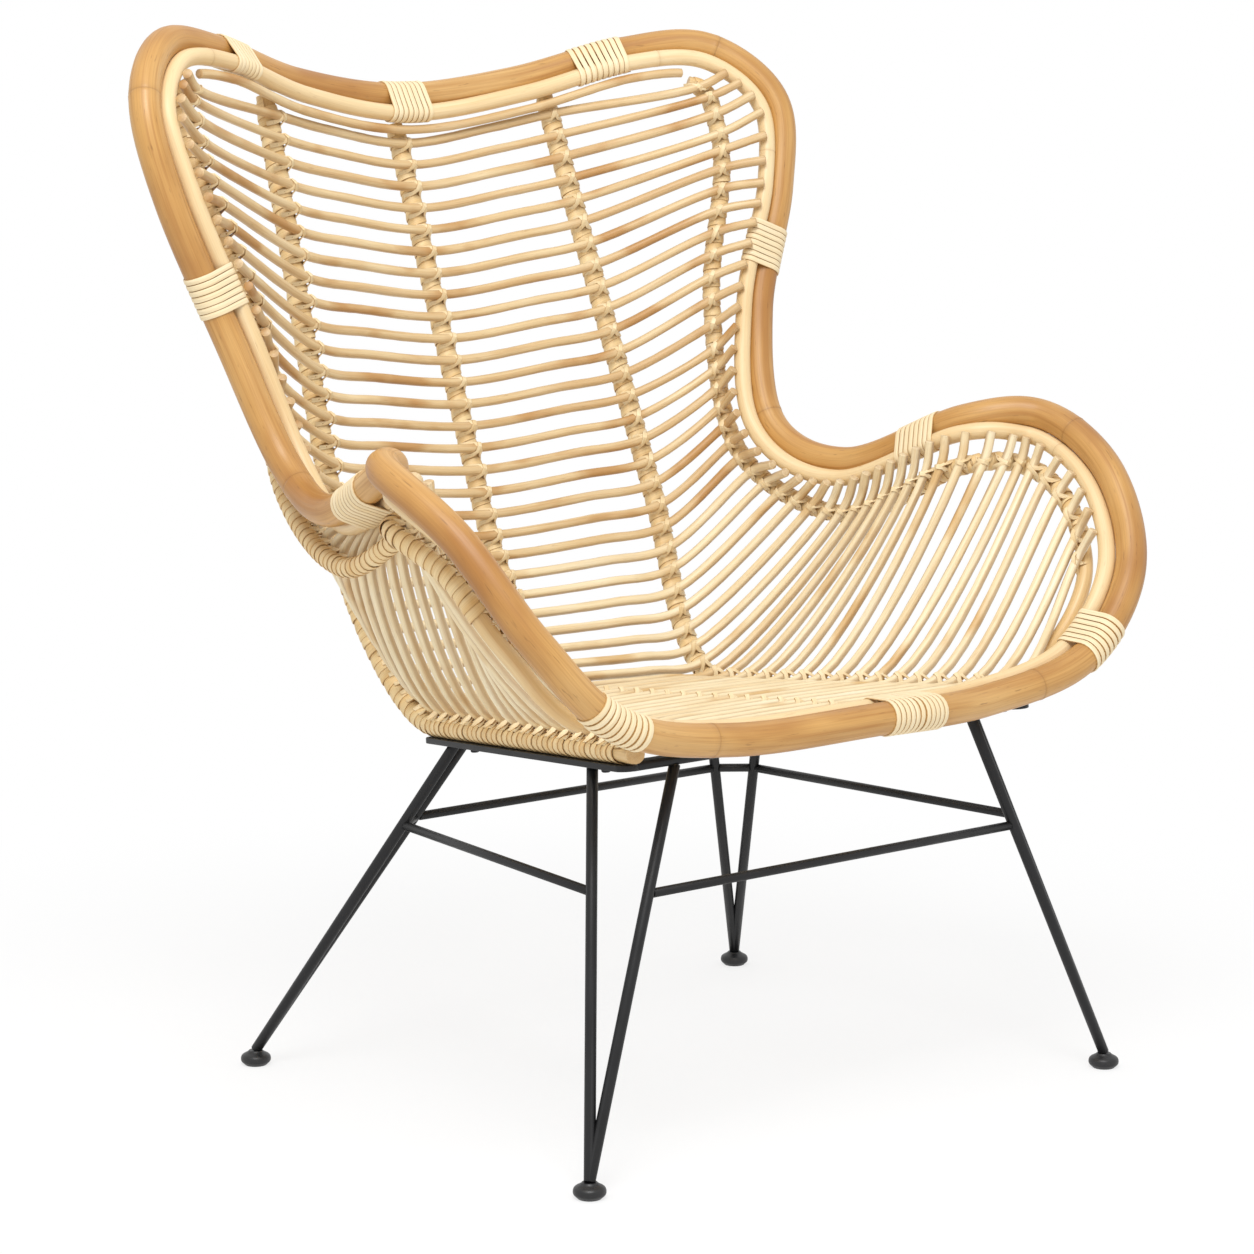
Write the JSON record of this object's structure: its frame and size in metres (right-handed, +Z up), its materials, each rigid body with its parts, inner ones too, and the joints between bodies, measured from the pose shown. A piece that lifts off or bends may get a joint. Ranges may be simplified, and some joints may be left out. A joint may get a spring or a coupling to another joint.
{
  "type": "rattan wing chair",
  "caption": "Rattan wing lounge chair: a bent-pole rim with inner hoop and cane bindings holds ribs and round rods that form seat, back and arms, on a black steel hairpin-leg base.",
  "frame": {"origin": "middle of the chair's footprint box, on the floor", "axes": "+Z up; the open front of the seat faces -Y; +X is to the right seen from the front"},
  "size_m": [0.8928, 0.8016, 1.0594],
  "materials": {
    "rim_pole": "honey-brown rattan pole, satin",
    "hoop_pole": "pale peeled rattan pole, satin",
    "wrapped_rib": "rattan pole wrapped in cane strip",
    "rod": "straw-coloured round rattan rod",
    "cane": "cream cane strip",
    "steel": "matte black paint",
    "foot": "black moulded foot"
  },
  "bodies": {
    "root": {"back_cross_bar": "steel", "back_leg_link_left": "steel", "back_leg_link_right": "steel", "back_stretcher": "steel", "binding_arm_left": "cane", "binding_arm_right": "cane", "binding_front": "cane", "binding_front_left": "cane", "binding_front_right": "cane", "binding_top_centre": "cane", "binding_top_left": "cane", "binding_top_right": "cane", "binding_wing_left": "cane", "binding_wing_right": "cane", "foot_back_left": "foot", "foot_back_right": "foot", "foot_front_left": "foot", "foot_front_right": "foot", "front_cross_bar": "steel", "front_stretcher": "steel", "hairpin_leg_back_left": "steel", "hairpin_leg_back_right": "steel", "hairpin_leg_front_left": "steel", "hairpin_leg_front_right": "steel", "hoop_pole_left": "hoop_pole", "hoop_pole_right": "hoop_pole", "rail_screw_back_left": "steel", "rail_screw_back_right": "steel", "rail_screw_front_left": "steel", "rail_screw_front_right": "steel", "rib_centre": "wrapped_rib", "rib_inner_left": "wrapped_rib", "rib_inner_right": "wrapped_rib", "rib_wing_left": "wrapped_rib", "rib_wing_right": "wrapped_rib", "rim_arm_pole_left": "rim_pole", "rim_arm_pole_right": "rim_pole", "rim_back_pole": "rim_pole", "rod_under_top_hoop": "rod", "rods_01_to_04": "rod", "rods_05_to_08": "rod", "rods_09_to_12": "rod", "rods_13_to_16": "rod", "rods_17_to_20": "rod", "rods_21_to_24": "rod", "rods_25_to_28": "rod", "rods_29_to_32": "rod", "rods_33_to_36": "rod", "rods_37_to_40": "rod", "rods_41_to_44": "rod", "side_rail_left": "steel", "side_rail_right": "steel", "side_stretcher_left": "steel", "side_stretcher_right": "steel"}
  },
  "joints": []
}
